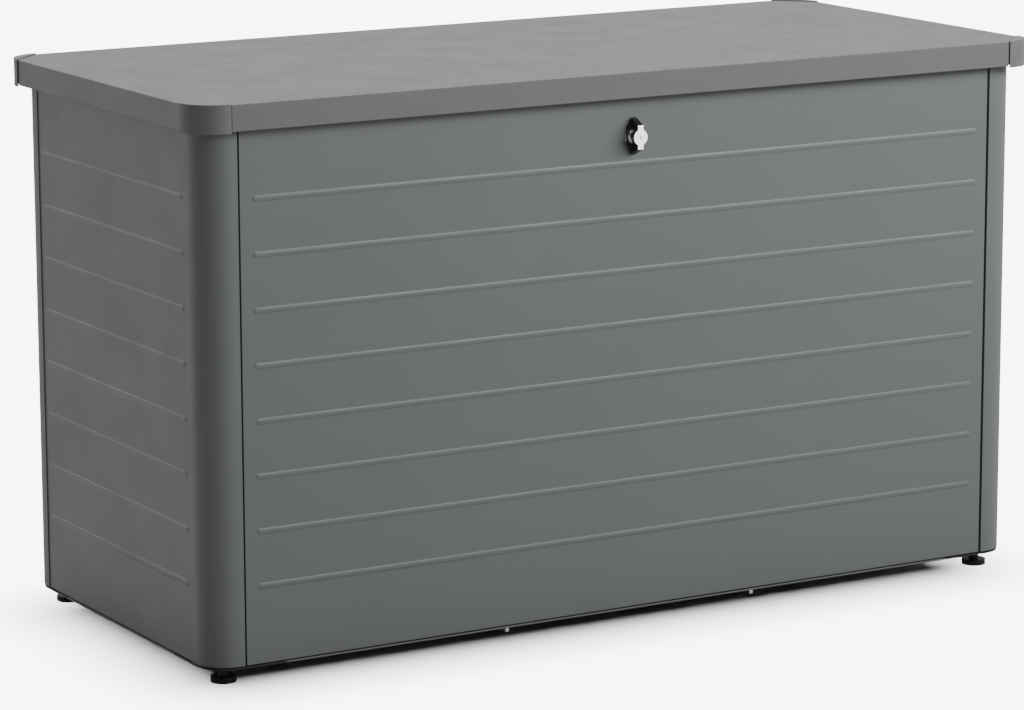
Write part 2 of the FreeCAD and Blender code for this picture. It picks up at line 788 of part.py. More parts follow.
def lid_panel():
    """Flat lid sheet with four folded rims; its corners are left open for the corner caps."""
    skin = "dim.lid_sheet"
    notch = f"({CAP_SIZE} + dim.cap_seam)"
    body = new_body("lid_panel")
    near_x = f"({LID_X} - {notch})"
    near_y = f"({LID_Y} - {notch})"
    octagon = [
        (f"-{near_x}", f"-{LID_Y}"),
        (near_x, f"-{LID_Y}"),
        (LID_X, f"-{near_y}"),
        (LID_X, near_y),
        (near_x, LID_Y),
        (f"-{near_x}", LID_Y),
        (f"-{LID_X}", near_y),
        (f"-{LID_X}", f"-{near_y}"),
    ]
    sketch = draw(body, "lid_panel_plan", "XY_Plane", octagon, LID_UNDER)
    extrude(body, "Pad", "lid_panel_sheet", sketch, skin)
    hem = "dim.rim_hem"
    top = "dim.lid_height"
    low = RIM_BOTTOM
    pieces = [
        body,
        box("rim_front", f"-{near_x}", near_x, f"-{LID_Y}", f"-{LID_Y} + {skin}", low, top),
        box("hem_front", f"-{near_x}", near_x, f"-{LID_Y}", f"-{LID_Y} + {hem}",
            low, f"{low} + {skin}"),
        box("rim_rear", f"-{near_x}", near_x, f"{LID_Y} - {skin}", LID_Y, low, top),
        box("rim_left", f"-{LID_X}", f"-{LID_X} + {skin}", f"-{near_y}", near_y, low, top),
        box("hem_left", f"-{LID_X}", f"-{LID_X} + {hem}", f"-{near_y}", near_y,
            low, f"{low} + {skin}"),
        box("rim_right", f"{LID_X} - {skin}", LID_X, f"-{near_y}", near_y, low, top),
        box("hem_right", f"{LID_X} - {hem}", LID_X, f"-{near_y}", near_y, low, f"{low} + {skin}"),
    ]
    return keep(join("lid_panel", pieces), "lid_panel")


def lid_cap(corner):
    """Moulded lid corner: round skirt, top web, tab under the lid sheet, laps behind the rims."""
    name = f"lid_cap_{corner}"
    proud = "dim.cap_proud"
    inside = "(dim.cap_wall - dim.cap_proud)"
    low = f"({RIM_BOTTOM} - dim.cap_below)"
    high = f"(dim.lid_height + {proud})"
    web = f"({high} - dim.cap_wall)"
    body = new_body(name)
    outer = [
        (CAP_SIZE, f"-{proud}"),
        (f"-{proud}", CAP_SIZE),
        (f"-{proud}", "dim.cap_radius", f"dim.cap_radius + {proud}", LEFT),
        ("dim.cap_radius", f"-{proud}"),
    ]
    sketch = draw(body, f"{name}_plan", "XY_Plane", outer, low)
    extrude(body, "Pad", f"{name}_block", sketch, f"{high} - {low}")
    beyond = f"({CAP_SIZE} + dim.cap_flat)"
    hollow = [
        (beyond, inside),
        (beyond, beyond),
        (inside, beyond),
        (inside, "dim.cap_radius", f"dim.cap_radius - {inside}", LEFT),
        ("dim.cap_radius", inside),
    ]
    sketch = draw(body, f"{name}_inside", "XY_Plane", hollow, low)
    extrude(body, "Pocket", f"{name}_hollow", sketch, f"{web} - {low}", reverse=True)
    root = f"({CAP_SIZE} - 4 * dim.cap_wall)"
    tip = f"({CAP_SIZE} + dim.cap_tab / 2)"
    edge = "(2 * dim.cap_wall)"
    tab = [
        (root, edge),
        (tip, edge),
        (edge, tip),
        (edge, root),
    ]
    sketch = draw(body, f"{name}_tab_plan", "XY_Plane", tab, f"{LID_UNDER} - dim.cap_tab_sheet")
    extrude(body, "Pad", f"{name}_tab", sketch, "dim.cap_tab_sheet")
    lap_low = f"({RIM_BOTTOM} + 2 * dim.lid_sheet)"
    lap = [
        (f"({CAP_SIZE} - dim.cap_lap)", "dim.lid_sheet"),
        (f"({CAP_SIZE} + dim.cap_lap)", "dim.lid_sheet"),
        (f"({CAP_SIZE} + dim.cap_lap)", "(dim.lid_sheet + dim.cap_lap_sheet)"),
        (f"({CAP_SIZE} - dim.cap_lap)", "(dim.lid_sheet + dim.cap_lap_sheet)"),
    ]
    for side, outline in (("x", lap), ("y", [(y, x) for x, y in reversed(lap)])):
        sketch = draw(body, f"{name}_lap_plan_{side}", "XY_Plane", outline, lap_low)
        extrude(body, "Pad", f"{name}_lap_{side}", sketch, f"{LID_UNDER} - {lap_low}")
    at_corner(body, corner, LID_X, LID_Y)
    return keep(body, name)


def channel(name, x0, x1, y0, y1, along, height):
    """Channel under the lid sheet, open upward, with its walls along X or along Y."""
    skin = "dim.lid_sheet"
    low = f"({LID_UNDER} - {height})"
    sole = box(f"{name}_sole", x0, x1, y0, y1, low, f"{low} + {skin}")
    if along == "X":
        first = box(f"{name}_wall", x0, x1, y0, f"{y0} + {skin}", low, LID_UNDER)
        second = box(f"{name}_wall", x0, x1, f"{y1} - {skin}", y1, low, LID_UNDER)
    else:
        first = box(f"{name}_wall", x0, f"{x0} + {skin}", y0, y1, low, LID_UNDER)
        second = box(f"{name}_wall", f"{x1} - {skin}", x1, y0, y1, low, LID_UNDER)
    return join(name, [sole, first, second])


def lid_reinforcement():
    """Beam along the front of the lid and two stiffeners from front to back."""
    front = f"(dim.beam_setback - {LID_Y})"
    back = f"({front} + dim.beam_width)"
    beam = channel("lid_front_beam", "-dim.beam_length / 2", "dim.beam_length / 2",
                   front, back, "X", "dim.beam_height")
    keep(beam, "lid_front_beam")
    pair = []
    for sign in HANDS.values():
        centre = f"({sign} * dim.stiffener_spacing / 2)"
        pair.append(channel("lid_stiffener", f"({centre} - dim.stiffener_width / 2)",
                            f"({centre} + dim.stiffener_width / 2)",
                            f"({back} + dim.panel_sheet)", f"({LID_Y} - dim.stiffener_rear)",
                            "Y", "dim.beam_height"))
    keep(group("lid_stiffeners", pair), "lid_stiffeners")


def lid_strike():
    """Hook that hangs from the front beam; its lip lies under the lock cam when that is turned."""
    skin = "dim.strike_sheet"
    west = "dim.strike_side"
    east = "(dim.strike_side + dim.strike_width)"
    back = f"({CAM_BACK} + dim.strike_behind)"
    beam_low = f"({LID_UNDER} - dim.beam_height)"
    beam_back = f"(dim.beam_setback - {LID_Y} + dim.beam_width)"
    lip_top = f"({LOCK_Z} - dim.cam_width / 2 - dim.strike_clearance)"
    pieces = [
        box("strike_foot", west, east, back, f"{beam_back} - dim.lid_sheet",
            f"{beam_low} - {skin}", beam_low),
        box("strike_plate", west, east, back, f"{back} + {skin}", f"{lip_top} - {skin}", beam_low),
        box("strike_lip", west, east, f"{back} - dim.strike_lip", back,
            f"{lip_top} - {skin}", lip_top),
    ]
    return keep(join("lid_strike", pieces), "lid_strike")


def in_front(depth):
    """Y of a plane of the lock, measured outward from the face of the front panel."""
    return f"(-{PANEL_Y} - {depth})"


def lock():
    """Quarter-turn lock: fixed housing and nut, and the parts that turn in it."""
    flange = "dim.lock_flange"
    ring = rod("housing_flange", "Y", "0", in_front(flange), LOCK_Z,
               "dim.lock_flange_radius", flange)
    lip_top = f"({flange} + dim.lock_play + dim.oval_thickness + dim.collar_proud)"
    collar_top = f"({lip_top} + 1)"
    lip = rod("housing_lip", "Y", "0", in_front(lip_top), LOCK_Z, "dim.collar_radius", lip_top)
    collar = rod("housing_collar", "Y", "0", in_front(collar_top), LOCK_Z,
                 "dim.collar_radius - dim.collar_step", collar_top)
    barrel = rod("housing_barrel", "Y", "0", in_front(flange), LOCK_Z,
                 "dim.barrel_radius", f"dim.barrel_length + {flange}")
    bore = rod("housing_bore", "Y", "0", in_front(collar_top), LOCK_Z,
               "dim.spindle_radius + dim.lock_play", f"dim.barrel_length + {collar_top}")
    housing = join("housing_solid", [ring, lip, collar, barrel])
    keep(cut("lock_housing", housing, [bore]), "lock_housing")
    inner_face = f"(dim.panel_sheet - {PANEL_Y})"
    blank = hexagon("lock_nut_blank", "Y", "0", inner_face, LOCK_Z,
                    "dim.lock_nut_radius", "dim.lock_nut_height")
    nut_bore = rod("lock_nut_bore", "Y", "0", inner_face, LOCK_Z,
                   "dim.barrel_radius + dim.lock_play", "dim.lock_nut_height")
    keep(cut("lock_nut", blank, [nut_bore]), "lock_nut")

    reach = "(dim.lock_flange + dim.lock_play + dim.handle_depth)"
    start = "(dim.lock_flange + dim.lock_play)"
    oval_body = new_body("handle_oval")
    chord = "(dim.oval_height / 2)"
    bulge = "(dim.oval_width / 2)"
    arc = f"(({chord} ^ 2 + {bulge} ^ 2) / (2 * {bulge}))"
    lens = [("0", f"-{chord}", arc, LEFT), ("0", chord, arc, LEFT)]
    sketch = draw(oval_body, "handle_oval_plan", "XZ_Plane", lens, start)
    extrude(oval_body, "Pad", "handle_oval_plate", sketch, "dim.oval_thickness")
    place(oval_body, "0", f"-{PANEL_Y}", LOCK_Z)
    hub = rod("handle_hub", "Y", "0", in_front(reach), LOCK_Z, "dim.handle_hub", "dim.handle_depth")
    wing = doc.addObject("Part::Wedge", "handle_wing")
    bind(wing, Xmin="-dim.handle_width / 2", Xmax="dim.handle_width / 2",
         X2min="-dim.handle_width / 2", X2max="dim.handle_width / 2",
         Ymin="0", Ymax="dim.handle_depth",
         Zmin="-dim.handle_base / 2", Zmax="dim.handle_base / 2",
         Z2min="-dim.handle_tip / 2", Z2max="dim.handle_tip / 2")
    place(wing, "0", in_front(start), LOCK_Z, UP, 180)
    solid = join("handle_solid", [oval_body, hub, wing])
    plug_bore = rod("handle_plug_bore", "Y", "0", in_front(reach), LOCK_Z,
                    "dim.plug_radius + dim.lock_play", "dim.plug_depth")
    shaft_bore = rod("handle_shaft_bore", "Y", "0", in_front(reach), LOCK_Z,
                     "dim.spindle_radius + dim.lock_play", "dim.handle_depth")
    collar_room = rod("handle_collar_room", "Y", "0", in_front(f"({collar_top} + dim.lock_play)"),
                      LOCK_Z, "dim.collar_radius + dim.lock_play", collar_top)
    keep(cut("lock_handle", solid, [plug_bore, shaft_bore, collar_room]), "lock_handle")

    front = f"({reach} + dim.face_sheet)"
    disc = rod("face_disc", "Y", "0", in_front(front), LOCK_Z, "dim.face_radius", "dim.face_sheet")
    tabs = box("face_tabs", "-dim.face_tab_width / 2", "dim.face_tab_width / 2",
               in_front(front), in_front(reach), f"{LOCK_Z} - dim.face_tab / 2",
               f"{LOCK_Z} + dim.face_tab / 2")
    face_bore = rod("face_bore", "Y", "0", in_front(front), LOCK_Z,
                    "dim.plug_radius + dim.lock_play", "dim.face_sheet")
    keep(cut("lock_face_plate", join("face_solid", [disc, tabs]), [face_bore]), "lock_face_plate")

    tip = f"({front} + dim.plug_proud)"
    depth = "(dim.plug_proud + dim.face_sheet + dim.plug_depth - 2 * dim.lock_play)"
    plug = rod("plug_solid", "Y", "0", in_front(tip), LOCK_Z, "dim.plug_radius", depth)
    slot = box("plug_keyway", "-dim.key_width / 2", "dim.key_width / 2", in_front(tip),
               f"{in_front(tip)} + {depth} - dim.face_sheet",
               f"{LOCK_Z} - dim.key_height / 2", f"{LOCK_Z} + dim.key_height / 2")
    keep(cut("lock_plug", plug, [slot]), "lock_plug")

    spindle_front = f"(-{PANEL_Y} - {reach} + dim.plug_depth)"
    spindle = rod("lock_spindle", "Y", "0", spindle_front, LOCK_Z, "dim.spindle_radius",
                  f"{CAM_BACK} - {spindle_front} + dim.cam_sheet")
    keep(spindle, "lock_spindle")
    blade = box("cam_blade", "-dim.cam_width / 2", "dim.cam_width / 2", CAM_FRONT, CAM_BACK,
                LOCK_Z, f"{LOCK_Z} + dim.cam_reach")
    eye = rod("cam_eye", "Y", "0", CAM_FRONT, LOCK_Z, "2 * dim.spindle_radius", "dim.cam_sheet")
    cam_bore = rod("cam_bore", "Y", "0", CAM_FRONT, LOCK_Z,
                   "dim.spindle_radius + dim.lock_play", "dim.cam_sheet")
    keep(cut("lock_cam", join("cam_solid", [blade, eye]), [cam_bore]), "lock_cam")


def hinge(hand):
    """Butt hinge on the rear of the box: body leaf with two knuckles, lid leaf with one."""
    sign = HANDS[hand]
    centre = f"({sign} * dim.hinge_spacing / 2)"
    half = "(dim.hinge_width / 2)"
    middle = "(dim.hinge_middle / 2)"
    face = PANEL_Y
    web_low = f"({HINGE_Z} - dim.leaf_web / 2)"
    web_high = f"({HINGE_Z} + dim.leaf_web / 2)"
    bore_radius = "dim.pin_radius + dim.pin_play"
    gap = f"({middle} + dim.hinge_play)"
    body_pieces = [
        box(f"hinge_{hand}_plate", f"{centre} - {half}", f"{centre} + {half}",
            face, f"{face} + dim.leaf_sheet", f"{web_high} - dim.leaf_length", web_high),
    ]
    for start, end in ((f"{centre} - {half}", f"{centre} - {gap}"),
                       (f"{centre} + {gap}", f"{centre} + {half}")):
        body_pieces.append(box(f"hinge_{hand}_web", start, end, face, HINGE_Y, web_low, web_high))
        body_pieces.append(rod(f"hinge_{hand}_knuckle", "X", start, HINGE_Y, HINGE_Z,
                               "dim.knuckle_radius", f"{end} - ({start})"))
    bore = rod(f"hinge_{hand}_bore", "X", f"{centre} - {half}", HINGE_Y, HINGE_Z,
               bore_radius, "dim.hinge_width")
    solid = join(f"hinge_{hand}_body_solid", body_pieces)
    keep(cut(f"hinge_{hand}_body_leaf", solid, [bore]), f"hinge_{hand}_body_leaf")

    rim = f"({LID_Y} - dim.lid_sheet)"
    lid_pieces = [
        rod(f"hinge_{hand}_lid_knuckle", "X", f"{centre} - {middle}", HINGE_Y, HINGE_Z,
            "dim.knuckle_radius", "dim.hinge_middle"),
        box(f"hinge_{hand}_lid_web", f"{centre} - {middle}", f"{centre} + {middle}",
            HINGE_Y, rim, web_low, web_high),
        box(f"hinge_{hand}_lid_plate", f"{centre} - {half}", f"{centre} + {half}",
            f"{rim} - dim.leaf_sheet", rim, web_low, LID_UNDER),
    ]
    lid_bore = rod(f"hinge_{hand}_lid_bore", "X", f"{centre} - {middle}", HINGE_Y, HINGE_Z,
                   bore_radius, "dim.hinge_middle")
    solid = join(f"hinge_{hand}_lid_solid", lid_pieces)
    keep(cut(f"hinge_{hand}_lid_leaf", solid, [lid_bore]), f"hinge_{hand}_lid_leaf")
    return rod(f"hinge_{hand}_pin", "X", f"{centre} - {half}", HINGE_Y, HINGE_Z,
               "dim.pin_radius", "dim.hinge_width")


def gas_strut(hand):
    """Closed gas strut of one side, leaning forward from its foot to the lid stud."""
    sign = HANDS[hand]
    centre = f"({sign} * {STRUT_X})"
    radius = "dim.strut_radius"
    bore = "(dim.strut_radius - dim.strut_wall)"
    tube_start = "(dim.strut_radius + dim.strut_wall)"
    tube_end = f"({tube_start} + dim.strut_stroke + dim.strut_reserve)"
    piston_start = f"({tube_start} + dim.strut_rest)"

    def along(name, start, end, bar_radius):
        """Round bar along the strut, between two distances from its foot."""
        return rod(name, "Z", "0", "0", start, bar_radius, f"({end}) - ({start})")

    def across(name, height, bar_radius):
        """Eye or bore across the strut."""
        return rod(name, "X", "-dim.strut_eye / 2", "0", height, bar_radius, "dim.strut_eye")

    foot_bore = across("strut_foot_bore", "0", "dim.strut_stud_radius + dim.strut_play")
    shell = along("strut_tube_outer", "dim.strut_stud_radius + dim.strut_neck", tube_end, radius)
    tube = join("strut_tube", [shell, across("strut_foot_eye", "0", radius)])
    room = along("strut_tube_room", tube_start, f"{tube_end} - dim.strut_piston", bore)
    mouth = along("strut_tube_mouth", tube_start, tube_end,
                  "dim.strut_rod_radius + dim.strut_play")
    cylinder = cut(f"strut_{hand}_cylinder", tube, [foot_bore, room, mouth])
    shaft = along("strut_shaft", piston_start, STRUT_CLOSED, "dim.strut_rod_radius")
    piston = along("strut_piston_disc", piston_start, f"{piston_start} + dim.strut_piston",
                   f"{bore} - dim.strut_play")
    rod_eye = across("strut_rod_eye", STRUT_CLOSED, radius)
    rod_bore = across("strut_rod_bore", STRUT_CLOSED, "dim.strut_stud_radius + dim.strut_play")
    plunger = cut(f"strut_{hand}_rod", join("strut_rod_solid", [shaft, piston, rod_eye]),
                  [rod_bore])
    for thing in (cylinder, plunger):
        place(thing, centre, STRUT_Y, STRUT_Z, Vector(1, 0, 0), 0)
        bind(thing, **{"Placement.Rotation.Angle": f"atan({STRUT_LEAN} / dim.strut_drop)"})
    keep(cylinder, f"strut_{hand}_cylinder")
    keep(plunger, f"strut_{hand}_rod")


def strut_brackets():
    """Body brackets on the side panels and lid brackets, each with its stud, for both struts."""
    lower = []
    upper = []
    for sign in HANDS.values():
        wall = f"({BODY_X} - dim.panel_recess - dim.panel_sheet)"
        face = f"({wall} - dim.bracket_depth)"
        eye = f"({STRUT_X} - dim.strut_eye / 2)"
        y0 = f"({STRUT_Y} - dim.bracket_width / 2)"
        y1 = f"({STRUT_Y} + dim.bracket_width / 2)"
        z0 = f"({STRUT_Z} - dim.bracket_height / 2)"
        z1 = f"({STRUT_Z} + dim.bracket_height / 2)"
        block = box("strut_block", *span(sign, face, wall), y0, y1, z0, z1)
        stud_start, stud_end = span(sign, eye, face)
        stud = rod("strut_foot_stud", "X", stud_start, STRUT_Y, STRUT_Z,
                   "dim.strut_stud_radius", f"{stud_end} - {stud_start}")
        lower.append(join("strut_body_bracket", [block, stud]))
        stud_tip = f"({eye} - dim.stud_gap)"
        plate = f"({stud_tip} - dim.lid_stud_length)"
        skin = "dim.lid_bracket_sheet"
        foot_end = f"({plate} - dim.lid_bracket_foot)"
        y0 = f"({STUD_Y} - dim.bracket_width / 2)"
        y1 = f"({STUD_Y} + dim.bracket_width / 2)"
        sole = box("lid_bracket_foot", *span(sign, foot_end, plate), y0, y1,
                   f"{LID_UNDER} - {skin}", LID_UNDER)
        web = box("lid_bracket_web", *span(sign, f"({plate} - {skin})", plate), y0, y1,
                  f"{STUD_Z} - dim.bracket_width / 2", LID_UNDER)
        stud_start, stud_end = span(sign, plate, stud_tip)
        stud = rod("lid_bracket_stud", "X", stud_start, STUD_Y, STUD_Z,
                   "dim.strut_stud_radius", f"{stud_end} - {stud_start}")
        upper.append(join("strut_lid_bracket", [sole, web, stud]))
    keep(group("strut_body_brackets", lower), "strut_body_brackets")
    keep(group("strut_lid_brackets", upper), "strut_lid_brackets")


def span(sign, inner, outer):
    """The same stretch of X on the right (+1) or mirrored to the left (-1), in rising order."""
    if sign > 0:
        return inner, outer
    return f"(-{outer})", f"(-{inner})"


for corner_name in CORNERS:
    corner_post(corner_name)
    base_corner(corner_name)
    foot(corner_name)
    post_cap(corner_name)
    lid_cap(corner_name)
for side_name in SIDES:
    wall_panel(side_name)
    top_rail(side_name)
    base_rail(side_name)
foot_nuts()
floor_panel()
floor_supports()
seam_screws()
edge_seals()
lid_panel()
lid_reinforcement()
lid_strike()
keep(group("hinge_pins", [hinge(hand) for hand in HANDS]), "hinge_pins")
for hand_name in HANDS:
    gas_strut(hand_name)
strut_brackets()
lock()

doc.recompute()
for thing in doc.Objects:
    if "Invalid" in thing.State or "Error" in thing.State:
        raise RuntimeError(f"{thing.Label} did not build: {thing.State}")
os.makedirs("parts", exist_ok=True)
for node in nodes:
    if node.Shape.isNull() or not node.Shape.isValid():
        raise RuntimeError(f"{node.Label} has no valid shape")
    node.Shape.exportStep(f"parts/{node.Label}.step")
print(len(nodes), "sub-parts written")
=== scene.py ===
import json
import math

import bpy
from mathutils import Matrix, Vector

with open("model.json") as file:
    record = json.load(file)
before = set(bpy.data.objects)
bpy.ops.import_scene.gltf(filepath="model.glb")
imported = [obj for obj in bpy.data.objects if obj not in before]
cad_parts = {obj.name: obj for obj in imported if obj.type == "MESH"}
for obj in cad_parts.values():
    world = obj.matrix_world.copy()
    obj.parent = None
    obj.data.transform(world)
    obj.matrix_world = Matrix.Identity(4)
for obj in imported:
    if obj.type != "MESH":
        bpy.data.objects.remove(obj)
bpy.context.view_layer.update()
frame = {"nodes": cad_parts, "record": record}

NODES = frame["nodes"]
CORNERS = ("front_left", "front_right", "rear_right", "rear_left")

# ---------------------------------------------------------------- materials


class Shader:
    """A node material under construction, with short names for the nodes that are used."""

    def __init__(self, name):
        self.material = bpy.data.materials.new(name)
        self.material.use_nodes = True
        self.tree = self.material.node_tree
        self.surface = self.tree.nodes["Principled BSDF"]
        self.position = self.add("ShaderNodeTexCoord").outputs["Object"]

    def add(self, kind, **values):
        """New node; values set its properties."""
        node = self.tree.nodes.new(kind)
        for key, setting in values.items():
            setattr(node, key, setting)
        return node

    def link(self, source, target):
        self.tree.links.new(source, target)

    def noise(self, scale, detail=2.0, stretch=(1, 1, 1)):
        """Noise field over the object, with features of about 1 / scale metres."""
        mapping = self.add("ShaderNodeMapping")
        mapping.inputs["Scale"].default_value = stretch
        self.link(self.position, mapping.inputs["Vector"])
        node = self.add("ShaderNodeTexNoise")
        node.inputs["Scale"].default_value = scale
        node.inputs["Detail"].default_value = detail
        self.link(mapping.outputs["Vector"], node.inputs["Vector"])
        return node.outputs["Fac"]

    def cells(self, scale):
        """Voronoi cells, for a crystal or grain pattern."""
        node = self.add("ShaderNodeTexVoronoi")
        node.inputs["Scale"].default_value = scale
        self.link(self.position, node.inputs["Vector"])
        return node.outputs["Color"]

    def remap(self, field, low, high):
        """A field of 0 to 1 carried to low to high."""
        node = self.add("ShaderNodeMapRange")
        node.inputs["From Min"].default_value = 0.3
        node.inputs["From Max"].default_value = 0.7
        node.inputs["To Min"].default_value = low
        node.inputs["To Max"].default_value = high
        self.link(field, node.inputs["Value"])
        return node.outputs["Result"]

    def blend(self, field, dark, light):
        """Colour between dark and light, by a field."""
        node = self.add("ShaderNodeMix", data_type="RGBA")
        node.inputs["A"].default_value = (*dark, 1)
        node.inputs["B"].default_value = (*light, 1)
        self.link(field, node.inputs["Factor"])
        return node.outputs["Result"]

    def colour(self, field, dark, light):
        self.link(self.blend(field, dark, light), self.surface.inputs["Base Color"])

    def roughness(self, field, low, high):
        self.link(self.remap(field, low, high), self.surface.inputs["Roughness"])

    def relief(self, fields, edge=0.0):
        """Bump from pairs of field and depth in metres, over edges rounded by a radius."""
        normal = None
        if edge:
            round_edge = self.add("ShaderNodeBevel", samples=6)
            round_edge.inputs["Radius"].default_value = edge
            normal = round_edge.outputs["Normal"]
        for field, depth in fields:
            bump = self.add("ShaderNodeBump")
            bump.inputs["Strength"].default_value = 1.0
            bump.inputs["Distance"].default_value = depth
            self.link(field, bump.inputs["Height"])
            if normal:
                self.link(normal, bump.inputs["Normal"])
            normal = bump.outputs["Normal"]
        if normal:
            self.link(normal, self.surface.inputs["Normal"])

    def set(self, **values):
        """Constant inputs of the surface shader, with _ for spaces."""
        for key, setting in values.items():
            self.surface.inputs[key.replace("_", " ")].default_value = setting
        return self


def shade(colour, factor):
    """Colour made darker or lighter."""
    return tuple(channel * factor for channel in colour)


def powder_coat(name, colour, edge=0.0012):
    """Satin powder coat: fine orange peel, faint cloudiness and dust."""
    shader = Shader(name)
    clouds = shader.noise(3.0, 3.0)
    shader.colour(clouds, shade(colour, 0.96), shade(colour, 1.04))
    shader.roughness(shader.noise(14.0, 4.0), 0.40, 0.50)
    peel = shader.noise(650.0, 1.0)
    sheet = shader.noise(2.2, 1.0)
    shader.relief([(sheet, 0.0006), (peel, 0.000012)], edge=edge)
    shader.set(Specular_IOR_Level=0.4)
    return shader.material


def plastic(name, colour, grain=900.0, depth=0.00004, rough=(0.38, 0.5), edge=0.0006):
    """Moulded plastic with a fine spark-eroded grain."""
    shader = Shader(name)
    shader.colour(shader.noise(40.0, 3.0), shade(colour, 0.9), shade(colour, 1.1))
    shader.roughness(shader.noise(60.0, 3.0), *rough)
    shader.relief([(shader.noise(grain, 1.0), depth)], edge=edge)
    shader.set(Specular_IOR_Level=0.45)
    return shader.material


def metal(name, colour, rough, spangle=0.0, brushed=(1, 1, 1), edge=0.0004):
    """Bare or plated steel, brushed along one axis or with zinc spangle."""
    shader = Shader(name)
    field = shader.cells(spangle) if spangle else shader.noise(220.0, 3.0, brushed)
    shader.colour(field, shade(colour, 0.86), colour)
    shader.roughness(shader.noise(90.0, 3.0, brushed), *rough)
    shader.relief([(shader.noise(400.0, 2.0, brushed), 0.00001)], edge=edge)
    shader.set(Metallic=1.0)
    return shader.material


def rubber(name):
    """Matt black rubber."""
    shader = Shader(name)
    shader.colour(shader.noise(80.0, 3.0), (0.012, 0.012, 0.012), (0.022, 0.022, 0.022))
    shader.roughness(shader.noise(120.0, 3.0), 0.6, 0.8)
    shader.relief([(shader.noise(500.0, 2.0), 0.00005)])
    return shader.material


GREY = (0.146, 0.160, 0.152)
LID_GREY = (0.140, 0.151, 0.143)
INNER_GREY = (0.142, 0.153, 0.147)
CAP_GREY = (0.140, 0.151, 0.145)
FINISHES = {
    "powder_coat": powder_coat("powder_coat_grey", GREY),
    "lid_coat": powder_coat("powder_coat_lid", LID_GREY, edge=0.0028),
    "powder_coat_inside": powder_coat("powder_coat_inner", INNER_GREY),
    "moulded_grey": plastic("moulded_cap_grey", CAP_GREY, depth=0.00002, rough=(0.42, 0.5), edge=0.0016),
    "black_plastic": plastic("moulded_black", (0.010, 0.010, 0.011)),
    "galvanised_steel": metal("galvanised", (0.62, 0.63, 0.64), rough=(0.34, 0.5), spangle=160.0),
    "bright_steel": metal("zinc_plated", (0.70, 0.70, 0.68), rough=(0.22, 0.34)),
    "chromed_zinc": metal("plated_lock", (0.93, 0.93, 0.92), rough=(0.20, 0.32), brushed=(1, 1, 12)),
    "black_lacquer": plastic(
        "strut_lacquer", (0.008, 0.008, 0.009), grain=700.0, depth=0.000004, rough=(0.18, 0.26)
    ),
    "black_rubber": rubber("seal_rubber"),
}


def finish_nodes():
    """Give every node of the frame the finish of its material slot."""
    for part in frame["record"]["subparts"]:
        mesh = NODES[part["node"]].data
        mesh.materials.clear()
        slot = "lid_coat" if part["node"] == "lid_panel" else part["material_slot"]
        mesh.materials.append(FINISHES[slot])


finish_nodes()

# ---------------------------------------------------------------- studio

WHITE = (1, 1, 1)
FLOOR_SIZE = 60.0
PALE = (0.93, 0.93, 0.93)
# what the floor throws back on the box, and what shows of it in glossy parts
FLOOR_BOUNCE = 0.05
FLOOR_GLEAM = 0.10
FLOOR_SUN_FROM = (0.04, 0.04, 1.0)
FLOOR_SUN_SPREAD = 15.0
FLOOR_SUN_POWER = 27.0
SUN_DISTANCE = 5
PLATED_PARTS = ("lock_face_plate", "lock_plug", "lock_housing")
BACKDROP = 4.6
# the room round the box: its level, its dark side, its top, and its share in diffuse light
ROOM = 1.0
ROOM_DARK = 0.02
ROOM_TOP = 1.6
ROOM_DIFFUSE = 0.11
DARK_SIDE = (-0.86, -0.50, 0.0)
# where the two changes begin and end: toward the dark side, and upward
DARK_SPAN = (0.15, 0.95)
TOP_SPAN = (0.0, 0.9)


def light_path(tree, kind):
    """Whether the ray in hand is of one kind, such as Is Camera Ray."""
    return tree.nodes.new("ShaderNodeLightPath").outputs[kind]


def studio_floor():
    """Plain pale floor that throws little light back on the box."""
    size = FLOOR_SIZE / 2
    mesh = bpy.data.meshes.new("floor")
    corners = [(-size, -size, 0), (size, -size, 0), (size, size, 0), (-size, size, 0)]
    mesh.from_pydata(corners, [], [(0, 1, 2, 3)])
    floor = bpy.data.objects.new("floor", mesh)
    bpy.context.scene.collection.objects.link(floor)
    shader = Shader("floor_paper")
    paper = shader.blend(shader.noise(30.0, 2.0), shade(PALE, 0.995), PALE)
    tree = shader.tree
    levels = [shade(WHITE, level) for level in (FLOOR_BOUNCE, FLOOR_GLEAM)]
    mirrored = shader.blend(light_path(tree, "Is Glossy Ray"), *levels)
    seen = shader.add("ShaderNodeMix", data_type="RGBA")
    shader.link(mirrored, seen.inputs["A"])
    shader.link(paper, seen.inputs["B"])
    shader.link(light_path(tree, "Is Camera Ray"), seen.inputs["Factor"])
    shader.link(seen.outputs["Result"], shader.surface.inputs["Base Color"])
    shader.set(Roughness=0.9, Specular_IOR_Level=0.0)
    mesh.materials.append(shader.material)
    return floor


def lamp(kind, name, place, target, power):
    """Light of one kind that stands at a place and faces a point."""
    data = bpy.data.lights.new(name, kind)
    data.energy = power
    light = bpy.data.objects.new(name, data)
    bpy.context.scene.collection.objects.link(light)
    light.location = place
    light.rotation_euler = (Vector(target) - Vector(place)).to_track_quat("-Z", "Y").to_euler()
    return light


def softbox(name, place, target, width, height, power):
    """Rectangular area light that faces a point."""
    light = lamp("AREA", name, place, target, power)
    light.data.shape = "RECTANGLE"
    light.data.size = width
    light.data.size_y = height
    return light


def distant(name, from_direction, spread, power):
    """Even light from one direction, softened by its spread in degrees."""
    light = lamp("SUN", name, Vector(from_direction) * SUN_DISTANCE, (0, 0, 0), power)
    light.data.angle = math.radians(spread)
    return light


def linked(name, pieces, state):
    """Collection of pieces that a light takes in or leaves out."""
    group = bpy.data.collections.new(name)
    for piece in pieces:
        group.objects.link(piece)
    for member in group.collection_objects:
        member.light_linking.link_state = state
    return group


